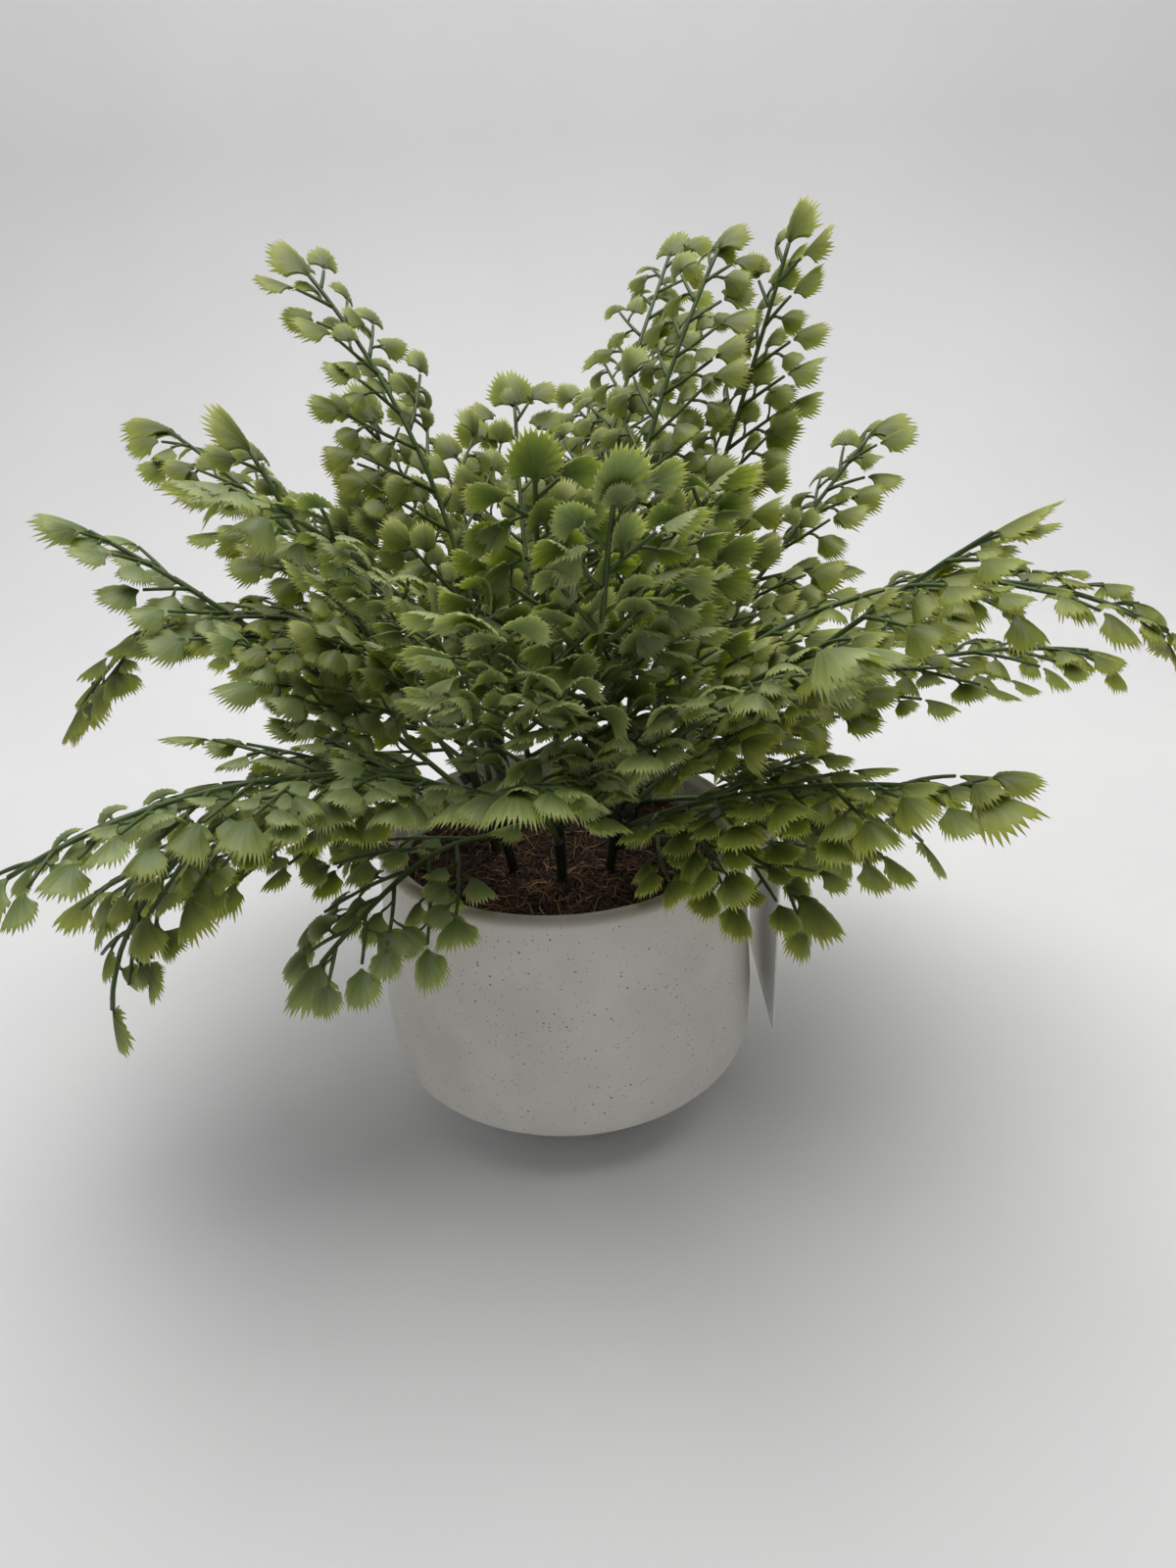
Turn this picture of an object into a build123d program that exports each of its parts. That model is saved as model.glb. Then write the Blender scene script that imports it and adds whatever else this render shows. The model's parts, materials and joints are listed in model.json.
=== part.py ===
from build123d import *
import os
from math import atan2, ceil, cos, hypot, pi, radians, sin, tan

# Artificial maidenhair fern in a speckled ceramic pot.
# Millimetres, +Z up, origin at the centre of the pot's foot, +X to the right, -Y to the front.

# ---- driving dimensions -------------------------------------------------------------------
POT_HEIGHT = 103.0         # foot to top of the lip
POT_MAX_RADIUS = 64.0      # widest point, low on the body
POT_MAX_Z = 44.0
BELLY_Z = 25.0             # corner where the side turns in towards the foot
LIP_OUTER_RADIUS = 60.5
LIP_INNER_RADIUS = 55.0
FOOT_RADIUS = 38.5
FOOT_RING_WIDTH = 4.5
FOOT_HEIGHT = 4.4
FLOOR_Z = 12.0             # inside floor of the pot

FOAM_TOP = 83.0
MOSS_TOP = 92.0
FILL_RADIUS = 54.6         # moss and foam, a slip fit in the pot

STALK_COUNT = 8
STALK_RADIUS = 1.6
STALK_FOOT_R = 22.0        # distance of a stalk's foot from the pot axis
STALK_TOP_R = 29.0
STALK_FOOT_Z = MOSS_TOP + 0.3 + STALK_RADIUS
STALK_TOP_Z = 129.0
KNOT_RADIUS = 2.4          # swelling at the top, for the uppermost frond's plug
SLEEVE_OFFSET = 2.9        # a lower frond plugs into a sleeve beside the stalk
SLEEVE_RADIUS = 1.75
ANCHOR_BOTTOM_Z = 51.0

STEM_RADIUS = 0.8
SOCKET_START = 0.6         # plug begins this far from the centre of its socket
SHEET = 0.8                # thickness of the moulded leaf material
BRANCH_WIDTH = 1.3
PINNA_ANGLE = 52.0         # branch against stem
PINNA_PITCH = 11.0         # spacing of the branches along a stem
BARE_LENGTH = 0.24         # share of a stem without leaves
LEAF_HALF_ANGLE = 34.0
TERMINAL_LEAF = 17.0

RAISE = 3.0                # bending range of a stalk, inward and outward, degrees
LOWER = 8.0
SECTOR = 180.0 / STALK_COUNT

TAG_X = 69.5
TAG_WIDTH = 55.0
TAG_TOP = 102.0
TAG_BOTTOM = 31.0
TAG_THICKNESS = 0.6
TAG_HOLE_RADIUS = 2.0
LOOP_WIRE = 0.45           # radius of the nylon loop
LOOP_BEND = 3.2            # radius of the loop's two round ends

# One row per frond: stalk number, knot height, heading, length, rise at base, rise at tip.
FRONDS = [
    (1, 129, -10, 175, 60, -30),
    (1, 123, 12, 160, 28, -12),
    (1, 117, 5, 105, 12, -48),
    (1, 111, -14, 80, 10, -30),
    (2, 129, 52, 160, 85, 48),
    (2, 123, 33, 168, 58, 72),
    (2, 117, 27, 140, 48, 40),
    (2, 111, 50, 150, 35, -40),
    (2, 105, 24, 140, 34, 2),
    (3, 129, 66, 185, 60, 40),
    (3, 123, 99, 120, 55, 60),
    (3, 117, 81, 150, 45, 38),
    (3, 111, 92, 160, 30, -45),
    (4, 129, 142, 160, 85, 45),
    (4, 123, 150, 165, 50, 25),
    (4, 117, 126, 125, 58, 60),
    (4, 111, 128, 155, 35, -42),
    (4, 105, 145, 145, 32, 2),
    (5, 129, 173, 158, 72, -55),
    (5, 121, 165, 120, 58, 64),
    (5, 114, 185, 140, 50, 36),
    (5, 107, 193, 125, 20, -25),
    (6, 129, 228, 130, 84, 26),
    (6, 123, 217, 142, 40, -18),
    (6, 117, 208, 155, 55, -80),
    (6, 111, 230, 76, 20, -30),
    (7, 129, 274, 102, 85, 65),
    (7, 123, 288, 120, 56, 66),
    (7, 117, 256, 105, 58, 50),
    (7, 111, 262, 80, 58, 20),
    (8, 129, 303, 103, 80, 52),
    (8, 123, 301, 108, 52, 30),
    (8, 117, 328, 140, 50, 38),
    (8, 111, 319, 118, 36, 8),
    (8, 105, 321, 66, 32, -28),
]


# ---- helpers ------------------------------------------------------------------------------
def polar(r, az, z):
    return Vector(r * cos(radians(az)), r * sin(radians(az)), z)


def stalk_azimuth(k):
    return (k - 1) * 360.0 / STALK_COUNT


def stalk_radius_at(z):
    share = (z - STALK_FOOT_Z) / (STALK_TOP_Z - STALK_FOOT_Z)
    return STALK_FOOT_R + (STALK_TOP_R - STALK_FOOT_R) * share


def knot(k, z):
    return polar(stalk_radius_at(z), stalk_azimuth(k), z)


def is_top(row):
    return row[1] == STALK_TOP_Z


def socket(row):
    """Centre of the socket that a frond's stem is pushed into."""
    k, z, az = row[0], row[1], row[2]
    if is_top(row):
        return knot(k, z)
    lean = (knot(k, STALK_TOP_Z) - knot(k, STALK_FOOT_Z)).normalized()
    out = polar(1, az, 0)
    beside = (out - lean * out.dot(lean)).normalized()
    return knot(k, z) + beside * SLEEVE_OFFSET


def stem_point(row, s):
    """Point and local frame on a frond's stem, s from 0 (socket) to 1 (tip)."""
    k, z, az, length, t0, t1 = row
    turn = radians(t1 - t0)
    a0 = radians(t0)
    if abs(turn) < 1e-6:
        run = length * s * cos(a0)
        rise = length * s * sin(a0)
    else:
        bend = length / turn
        run = bend * (sin(a0 + turn * s) - sin(a0))
        rise = bend * (cos(a0) - cos(a0 + turn * s))
    a = a0 + turn * s
    out = polar(1, az, 0)
    p = socket(row) + out * run + Vector(0, 0, rise)
    t = out * cos(a) + Vector(0, 0, sin(a))
    n = out * -sin(a) + Vector(0, 0, cos(a))
    return p, t, n


def tilted(k, p, degrees):
    """Radial distance, sideways distance and height of p after the stalk bends."""
    az = radians(stalk_azimuth(k))
    r = p.X * cos(az) + p.Y * sin(az)
    side = -p.X * sin(az) + p.Y * cos(az)
    dr = r - STALK_FOOT_R
    dz = p.Z - STALK_FOOT_Z
    a = radians(degrees)
    r2 = STALK_FOOT_R + dr * cos(a) - dz * sin(a)
    z2 = STALK_FOOT_Z + dr * sin(a) + dz * cos(a)
    return r2, side, z2


def has_room(k, p, margin):
    """True while p stays in its stalk's own sector and off the pot over the whole bend."""
    low = 3.0 if k == 1 else LOWER
    for degrees in (-low, 0.0, RAISE):
        r, side, z = tilted(k, p, degrees)
        if abs(side) * cos(radians(SECTOR)) > r * sin(radians(SECTOR)) - margin:
            return False
        if z < POT_HEIGHT + 3.0 and hypot(r, side) < POT_MAX_RADIUS + 4.0:
            return False
        if z < 8.0:
            return False
    return True


def near_tag(k, p, reach):
    if k != 1:
        return False
    if abs(p.X - TAG_X) > reach + 4.0 or abs(p.Y) > TAG_WIDTH / 2 + 12.0:
        return False
    return p.Z < TAG_TOP + 5.0 + reach or (p.Z < TAG_TOP + 24.0 and abs(p.Y - 3.7) < reach + 6.0)


# ---- pot, foam, moss ----------------------------------------------------------------------
def build_pot():
    """Turned profile: straight runs, then each corner rounded to its own radius."""
    inner_foot = FOOT_RADIUS - FOOT_RING_WIDTH
    foot_top = (FOOT_RADIUS + 0.6, FOOT_HEIGHT - 0.6)
    belly = (POT_MAX_RADIUS - 0.4, BELLY_Z)
    waist = (POT_MAX_RADIUS, POT_MAX_Z)
    outer_lip = (LIP_OUTER_RADIUS, POT_HEIGHT)
    inner_lip = (LIP_INNER_RADIUS, POT_HEIGHT)
    inner_belly = (LIP_INNER_RADIUS + 1.5, BELLY_Z + 4.5)
    inner_floor = (inner_foot + 2.0, FLOOR_Z)
    outline = [
        (0, FLOOR_Z - 8.0),
        (inner_foot - 1.5, FLOOR_Z - 8.0),
        (inner_foot, 0),
        (FOOT_RADIUS, 0),
        foot_top,
        belly,
        waist,
        outer_lip,
        inner_lip,
        inner_belly,
        inner_floor,
        (0, FLOOR_Z),
    ]
    face = make_face(Polyline(*outline, close=True))
    for corner, radius in ((belly, 9.0), (waist, 36.0), (outer_lip, 2.6), (inner_lip, 2.6),
                           (inner_belly, 8.0), (inner_floor, 6.0)):
        vertex = face.vertices().sort_by_distance(Vector(*corner))[0]
        face = fillet(vertex, radius)
    return revolve(Plane.XZ * face, axis=Axis.Z)


def anchor_rod(k, radius):
    foot = polar(STALK_FOOT_R, stalk_azimuth(k), ANCHOR_BOTTOM_Z)
    rod = Cylinder(radius, MOSS_TOP - ANCHOR_BOTTOM_Z, align=(Align.CENTER, Align.CENTER, Align.MIN))
    return Pos(foot) * rod


def build_foam():
    base = (Align.CENTER, Align.CENTER, Align.MIN)
    narrow = LIP_INNER_RADIUS - 9.0
    foam = Pos(0, 0, FLOOR_Z) * Cone(narrow - 14.0, narrow, 16.0, align=base)
    middle = Pos(0, 0, FLOOR_Z + 16.0) * Cylinder(narrow, FOAM_TOP - FLOOR_Z - 16.0, align=base)
    foam = foam + middle
    collar = Pos(0, 0, 43) * Cylinder(FILL_RADIUS, FOAM_TOP - 43, align=base)
    foam = foam + collar
    for k in range(1, STALK_COUNT + 1):
        foam = foam - anchor_rod(k, STALK_RADIUS)
    return foam


def build_moss():
    moss = Pos(0, 0, FOAM_TOP) * Cylinder(FILL_RADIUS, MOSS_TOP - FOAM_TOP,
                                          align=(Align.CENTER, Align.CENTER, Align.MIN))
    top_edge = moss.edges().filter_by(GeomType.CIRCLE).sort_by(Axis.Z)[-1]
    moss = fillet(top_edge, 3.0)
    for k in range(1, STALK_COUNT + 1):
        moss = moss - anchor_rod(k, STALK_RADIUS)
    return moss


# ---- stalks -------------------------------------------------------------------------------
def rod_between(a, b, radius):
    return Plane(origin=a, z_dir=(b - a)) * Cylinder(
        radius, (b - a).length, align=(Align.CENTER, Align.CENTER, Align.MIN))


def build_stem(row):
    """Round stem of one frond, a single gentle arc."""
    start = stem_point(row, SOCKET_START / row[3])[0]
    middle = stem_point(row, 0.5)[0]
    end = stem_point(row, 1.0)[0]
    path = ThreePointArc(start, middle, end)
    return sweep(Plane(origin=start, z_dir=path % 0) * Circle(STEM_RADIUS), path=path)


def build_rod(k):
    """A stalk without its sleeves: round foot, plain shaft, thicker top."""
    foot = polar(STALK_FOOT_R, stalk_azimuth(k), STALK_FOOT_Z)
    top = knot(k, STALK_TOP_Z)
    length = (top - foot).length
    corner = STALK_RADIUS * sin(radians(45))
    with BuildPart() as rod:
        with BuildSketch(Plane.XZ):
            with BuildLine():
                ThreePointArc((0, -STALK_RADIUS), (corner, -corner), (STALK_RADIUS, 0))
                Polyline(
                    (STALK_RADIUS, 0),
                    (STALK_RADIUS, length - 4.0),
                    (KNOT_RADIUS, length - 1.5),
                    (KNOT_RADIUS, length + 0.9),
                    (KNOT_RADIUS - 0.7, length + 1.6),
                    (0, length + 1.6),
                    (0, -STALK_RADIUS),
                )
            make_face()
        revolve(axis=Axis.Z)
    return Plane(origin=foot, z_dir=(top - foot)) * rod.part


def build_stalk(k):
    rows = [row for row in FRONDS if row[0] == k]
    body = build_rod(k)
    for row in rows:
        if is_top(row):
            continue
        centre, t, n = stem_point(row, 0.0)
        body = body + rod_between(centre - t * 1.3, centre + t * 2.1, SLEEVE_RADIUS)
        body = body + rod_between(knot(k, row[1]), centre, SLEEVE_RADIUS - 0.7)
    for row in rows:
        start, t, n = stem_point(row, SOCKET_START / row[3])
        body = body - rod_between(start, start + t * 4.0, STEM_RADIUS + 0.05)
    return body


# ---- fronds -------------------------------------------------------------------------------
def leaf_outline(x, y, heading, size):
    a = radians(heading)
    w = radians(LEAF_HALF_ANGLE)
    left = (x + size * cos(a + w), y + size * sin(a + w))
    right = (x + size * cos(a - w), y + size * sin(a - w))
    crown = (x + 1.08 * size * cos(a), y + 1.08 * size * sin(a))
    edge = [Line((x, y), left), ThreePointArc(left, crown, right), Line(right, (x, y))]
    return make_face(edge)


def strip(length, heading):
    a = Rot(0, 0, heading)
    return a * Pos(length / 2, 0) * Rectangle(length, BRANCH_WIDTH)


def pinna_plan(side, length, leaves):
    """Leaf positions on one side branch: list of (x, y, heading, size)."""
    a = radians(side * PINNA_ANGLE)
    plan = []
    if leaves >= 3:
        d = 0.45 * length
        plan.append((d * cos(a), d * sin(a), side * (PINNA_ANGLE - 52), 8.5))
    if leaves >= 2:
        d = 0.62 * length
        plan.append((d * cos(a), d * sin(a), side * (PINNA_ANGLE + 50), 9.0))
    d = length - 1.0
    plan.append((d * cos(a), d * sin(a), side * PINNA_ANGLE, 11.0))
    return plan


def local_to_world(frame, x, y):
    p, t, n = frame
    return p + t * x + n.cross(t) * y


def leaf_spots(frame, leaf):
    x, y, heading, size = leaf
    a = radians(heading)
    w = radians(LEAF_HALF_ANGLE)
    spots = [(x, y)]
    for turn, reach in ((-w, 1.0), (0.0, 1.08), (w, 1.0)):
        spots.append((x + reach * size * cos(a + turn), y + reach * size * sin(a + turn)))
    return [local_to_world(frame, *s) for s in spots]


class Crowd:
    """What already stands on one stalk: balls that later leaves keep clear of."""

    def __init__(self, rows):
        self.balls = []
        for i, row in enumerate(rows):
            for step in range(0, 61):
                p, t, n = stem_point(row, step / 60.0)
                self.balls.append((p, STEM_RADIUS, i))

    def free(self, p, radius, owner):
        for q, r, other in self.balls:
            if other != owner and (p - q).length < radius + r + 0.5:
                return False
        return True

    def add(self, p, radius, owner):
        self.balls.append((p, radius, owner))


def leaf_fits(k, frame, leaf, crowd, owner):
    spots = leaf_spots(frame, leaf)
    size = leaf[3]
    centre = (spots[0] + spots[2]) * 0.5
    if not all(has_room(k, s, 0.7) for s in spots):
        return False
    if any(near_tag(k, s, 3.0) for s in spots):
        return False
    return crowd.free(centre, 0.62 * size, owner)


def remember(crowd, frame, leaf, owner):
    spots = leaf_spots(frame, leaf)
    centre = (spots[0] + spots[2]) * 0.5
    crowd.add(centre, 0.62 * leaf[3], owner)


def build_frond(row, owner, crowd):
    k = row[0]
    length = row[3]
    stem = build_stem(row)
    blades = []
    count = int(length * (1 - BARE_LENGTH) / PINNA_PITCH)
    for i in range(count):
        s = BARE_LENGTH + (1 - BARE_LENGTH) * i / count
        side = 1 if (i + owner) % 2 == 0 else -1
        fade = i / max(1, count - 1)
        if row is FRONDS[2] and abs(stem_point(row, s)[0].X - TAG_X) < 11.0:
            continue
        leaves = 3 if fade < 0.45 else (2 if fade < 0.75 else 1)
        branch = 19.0 - 12.0 * fade
        frame = stem_point(row, s)
        plan = [leaf for leaf in pinna_plan(side, branch, leaves)
                if leaf_fits(k, frame, leaf, crowd, owner)]
        if not plan:
            continue
        reach = max(hypot(leaf[0], leaf[1]) for leaf in plan)
        tip = local_to_world(frame, reach * cos(radians(PINNA_ANGLE)),
                             side * reach * sin(radians(PINNA_ANGLE)))
        along = [frame[0] + (tip - frame[0]) * (step / 8.0) for step in range(1, 9)]
        if not has_room(k, tip, 1.5) or not all(crowd.free(q, 1.0, owner) for q in along):
            continue
        face = strip(reach + 1.5, side * PINNA_ANGLE)
        for leaf in plan:
            face = face + leaf_outline(*leaf)
            remember(crowd, frame, leaf, owner)
        plane = Plane(origin=frame[0], x_dir=frame[1], z_dir=frame[2])
        blades.append(extrude(plane * face, SHEET / 2, both=True))
        for q in along:
            crowd.add(q, 1.0, owner)
    frame = stem_point(row, 1.0)
    leaf = (-1.5, 0.0, 0.0, TERMINAL_LEAF)
    if leaf_fits(k, frame, leaf, crowd, owner):
        remember(crowd, frame, leaf, owner)
        plane = Plane(origin=frame[0], x_dir=frame[1], z_dir=frame[2])
        blades.append(extrude(plane * leaf_outline(*leaf), SHEET / 2, both=True))
    return stem.fuse(*blades) if blades else stem


# ---- tag ----------------------------------------------------------------------------------
def tag_hang_point():
    row = FRONDS[2]
    best = min(range(0, 401), key=lambda i: abs(stem_point(row, i / 400.0)[0].X - TAG_X))
    return stem_point(row, best / 400.0)[0]


def build_tag():
    hang = tag_hang_point()
    with BuildPart() as tag:
        with BuildSketch(Plane(origin=(TAG_X, hang.Y, 0), x_dir=(0, 1, 0), z_dir=(1, 0, 0))):
            with Locations((0, (TAG_TOP + TAG_BOTTOM) / 2)):
                RectangleRounded(TAG_WIDTH, TAG_TOP - TAG_BOTTOM, 2.0)
            with Locations((0, TAG_TOP - 4.5)):
                Circle(TAG_HOLE_RADIUS, mode=Mode.SUBTRACT)
        extrude(amount=TAG_THICKNESS / 2, both=True)
    return tag.part


def build_loop():
    hang = tag_hang_point()
    high = hang.Z + STEM_RADIUS + LOOP_WIRE + 0.3
    low = TAG_TOP - 4.5 + TAG_HOLE_RADIUS - LOOP_WIRE - 0.1
    plane = Plane(origin=(TAG_X, hang.Y, 0), x_dir=(1, 1, 0), z_dir=(1, -1, 0))
    b = LOOP_BEND
    with BuildPart() as loop:
        with BuildLine(plane) as path:
            Line((-b, low + b), (-b, high - b))
            ThreePointArc((-b, high - b), (0, high), (b, high - b))
            Line((b, high - b), (b, low + b))
            ThreePointArc((b, low + b), (0, low), (-b, low + b))
        start = path.wires()[0] @ 0
        with BuildSketch(Plane(origin=start, z_dir=path.wires()[0] % 0)):
            Circle(LOOP_WIRE)
        sweep(path=path.wires()[0])
    return loop.part


# ---- write one file per piece -------------------------------------------------------------
def save(shape, name):
    shape.label = name
    export_step(shape, "parts/" + name + ".step")
    box = shape.bounding_box()
    print(name, "volume", round(shape.volume, 1), "box", tuple(box.min), tuple(box.max))


def main():
    os.makedirs("parts", exist_ok=True)
    save(build_pot(), "pot")
    save(build_foam(), "foam_plug")
    save(build_moss(), "moss_layer")
    for k in range(1, STALK_COUNT + 1):
        save(anchor_rod(k, STALK_RADIUS), "stalk_end_%d" % k)
    number = 0
    for k in range(1, STALK_COUNT + 1):
        rows = [row for row in FRONDS if row[0] == k]
        crowd = Crowd(rows)
        save(build_stalk(k), "stalk_%d" % k)
        for owner, row in enumerate(rows):
            number = number + 1
            save(build_frond(row, owner, crowd), "frond_%02d" % number)
    save(build_tag(), "hang_tag")
    save(build_loop(), "tag_loop")


main()
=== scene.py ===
# %% [markdown]
# # An artificial maidenhair fern in a speckled pot
# The solid model gives us a fixed frame: pot, stalks and plain sprays, all in metres.
# This lesson keeps the hard parts, gives them real finishes, and grows detailed moulded
# sprays in the places that the plain ones hold.

# %% Load the frame
import json
import math
import random

import bpy
import numpy as np
from mathutils import Matrix, Vector


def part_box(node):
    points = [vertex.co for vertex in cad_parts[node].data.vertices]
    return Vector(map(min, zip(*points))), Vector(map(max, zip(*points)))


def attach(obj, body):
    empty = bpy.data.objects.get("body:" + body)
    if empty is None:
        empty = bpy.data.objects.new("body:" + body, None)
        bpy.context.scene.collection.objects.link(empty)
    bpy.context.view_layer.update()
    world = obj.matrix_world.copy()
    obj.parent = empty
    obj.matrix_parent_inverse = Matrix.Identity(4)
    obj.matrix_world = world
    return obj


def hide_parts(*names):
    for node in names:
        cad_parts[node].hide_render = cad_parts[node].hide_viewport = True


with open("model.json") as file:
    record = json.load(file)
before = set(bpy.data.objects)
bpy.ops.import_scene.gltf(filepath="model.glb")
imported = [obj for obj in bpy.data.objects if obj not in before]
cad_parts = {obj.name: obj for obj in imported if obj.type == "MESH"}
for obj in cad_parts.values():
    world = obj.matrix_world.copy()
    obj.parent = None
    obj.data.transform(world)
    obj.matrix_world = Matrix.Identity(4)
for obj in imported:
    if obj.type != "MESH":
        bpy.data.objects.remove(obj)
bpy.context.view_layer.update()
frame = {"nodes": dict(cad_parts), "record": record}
MM = 0.001

# %% [markdown]
# ## Camera
# The planter is seen from a little above, at arm's length, with a wide lens, so the near
# leaves look large. A camera can be aimed with a constraint, but writing its three axes
# (right, up, backwards) as a matrix is exact and leaves nothing to evaluate later.

# %% Place the camera
PITCH = math.radians(26.14)
ROLL = math.radians(-2.54)
level_up = Vector((0, math.sin(PITCH), math.cos(PITCH)))
level_right = Vector((1, 0, 0))
cam_right = math.cos(ROLL) * level_right + math.sin(ROLL) * level_up
cam_up = -math.sin(ROLL) * level_right + math.cos(ROLL) * level_up
cam_back = cam_right.cross(cam_up)
camera_data = bpy.data.cameras.new("studio_camera")
camera_data.sensor_fit = "VERTICAL"
camera_data.sensor_height = 36.0
camera_data.lens = 26.27
camera_data.clip_start = 0.01
camera = bpy.data.objects.new("studio_camera", camera_data)
bpy.context.scene.collection.objects.link(camera)
turn = Matrix((cam_right, cam_up, cam_back)).transposed().to_4x4()
camera.matrix_world = Matrix.Translation((0.0096, -0.3381, 0.2829)) @ turn
bpy.context.scene.camera = camera
print("camera at", tuple(round(x, 3) for x in camera.location))

# %% [markdown]
# ## Two small helpers for materials
# Paint charts give colours as sRGB hex, but a renderer works in linear light, so one
# function converts. A second one adds any shader node with its settings and its links.


# %% Helpers for colour and nodes
def from_hex(code, alpha=1.0):
    values = [int(code[i:i + 2], 16) / 255 for i in (1, 3, 5)]
    linear = [v / 12.92 if v <= 0.04045 else ((v + 0.055) / 1.055) ** 2.4 for v in values]
    return (*linear, alpha)


def add_node(tree, kind, settings=None, values=None, links=None):
    node = tree.nodes.new(kind)
    for name, value in (settings or {}).items():
        setattr(node, name, value)
    for name, value in (values or {}).items():
        node.inputs[name].default_value = value
    for name, source in (links or {}).items():
        tree.links.new(source, node.inputs[name])
    return node


def start_material(name):
    material = bpy.data.materials.new(name)
    material.use_nodes = True
    tree = material.node_tree
    shader = tree.nodes["Principled BSDF"]
    return material, tree, shader


def set_stops(ramp, stops):
    elements = ramp.color_ramp.elements
    while len(elements) > len(stops):
        elements.remove(elements[-1])
    while len(elements) < len(stops):
        elements.new(0.5)
    for element, (place, colour) in zip(elements, stops):
        element.position = place
        element.color = colour


print("white in linear light", from_hex("#ffffff"))

# %% [markdown]
# ## The pot: stoneware with a speckled satin glaze
# Stoneware is thrown or pressed, dipped in an off-white glaze and fired. Iron specks in the
# clay burn through as grey-brown dots of a third of a millimetre to a millimetre, sharp at
# the edge and of every size. Voronoi cells give one dot each, a threshold on the distance to
# the cell's point makes it round, and a random value per cell decides whether it is there.


# %% Speckled stoneware glaze
def dots(tree, coordinate, spacing_mm, size_mm, share):
    """Round dots: one cell every spacing_mm, dots up to size_mm wide in a share of cells."""
    cells = add_node(tree, "ShaderNodeTexVoronoi", {"feature": "F1"},
                     {"Scale": 1000.0 / spacing_mm, "Randomness": 1.0},
                     {"Vector": coordinate})
    pick = add_node(tree, "ShaderNodeSeparateColor", links={"Color": cells.outputs["Color"]})
    size = add_node(tree, "ShaderNodeMapRange", {"clamp": True},
                    {"From Min": 1.0 - share, "From Max": 1.0, "To Min": 0.0,
                     "To Max": size_mm / spacing_mm / 2}, {"Value": pick.outputs["Red"]})
    inside = add_node(tree, "ShaderNodeMath", {"operation": "SUBTRACT"},
                      links={0: size.outputs["Result"], 1: cells.outputs["Distance"]})
    edge = add_node(tree, "ShaderNodeMath", {"operation": "MULTIPLY", "use_clamp": True},
                    {1: 14.0}, {0: inside.outputs["Value"]})
    return edge.outputs["Value"], pick.outputs["Green"]


def speckled_glaze():
    material, tree, shader = start_material("speckled_stoneware_glaze")
    place = add_node(tree, "ShaderNodeTexCoord").outputs["Object"]
    cloud = add_node(tree, "ShaderNodeTexNoise", values={"Scale": 1000 / 22, "Detail": 5.0},
                     links={"Vector": place})
    body = add_node(tree, "ShaderNodeValToRGB", links={"Fac": cloud.outputs["Fac"]})
    set_stops(body, [(0.32, from_hex("#d9d4ca")), (0.7, from_hex("#e6e2da"))])
    colour = body.outputs["Color"]
    for spacing, size, share, dark, pale in (
        (1.0, 0.62, 0.42, "#8d8378", "#b9b0a5"),
        (1.7, 0.85, 0.36, "#6a6056", "#a29a94"),
        (4.2, 1.15, 0.30, "#4f4842", "#8a868a"),
    ):
        mask, random_value = dots(tree, place, spacing, size, share)
        tint = add_node(tree, "ShaderNodeMix", {"data_type": "RGBA"},
                        {6: from_hex(dark), 7: from_hex(pale)}, {0: random_value})
        mixed = add_node(tree, "ShaderNodeMix", {"data_type": "RGBA"},
                         links={0: mask, 6: colour, 7: tint.outputs[2]})
        colour = mixed.outputs[2]
    height = add_node(tree, "ShaderNodeSeparateXYZ", links={"Vector": place})
    lip = add_node(tree, "ShaderNodeMapRange", {"clamp": True},
                   {"From Min": 0.0995, "From Max": 0.1015, "To Min": 0.0, "To Max": 0.5},
                   {"Value": height.outputs["Z"]})
    worn = add_node(tree, "ShaderNodeMix", {"data_type": "RGBA"}, {7: from_hex("#cfc4b2")},
                    {0: lip.outputs["Result"], 6: colour})
    tree.links.new(worn.outputs[2], shader.inputs["Base Color"])
    ripple = add_node(tree, "ShaderNodeTexNoise", values={"Scale": 1000 / 3.0, "Detail": 3.0},
                      links={"Vector": place})
    bump = add_node(tree, "ShaderNodeBump", values={"Strength": 0.12, "Distance": 0.0003},
                    links={"Height": ripple.outputs["Fac"]})
    tree.links.new(bump.outputs["Normal"], shader.inputs["Normal"])
    rough = add_node(tree, "ShaderNodeMapRange", values={"To Min": 0.34, "To Max": 0.52},
                     links={"Value": cloud.outputs["Fac"]})
    tree.links.new(rough.outputs["Result"], shader.inputs["Roughness"])
    shader.inputs["IOR"].default_value = 1.52
    return material


pot = frame["nodes"]["pot"]
pot.data.materials.clear()
pot.data.materials.append(speckled_glaze())
print("pot finish", pot.data.materials[0].name)

# %% [markdown]
# ## Mesh helpers for everything that grows
# All the greenery is tubes and leaf blades. A small collector gathers points, faces, a
# finish number per face and a few numbers per point, and turns them into one mesh at the
# end. That is far quicker than adding thousands of objects.


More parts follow.
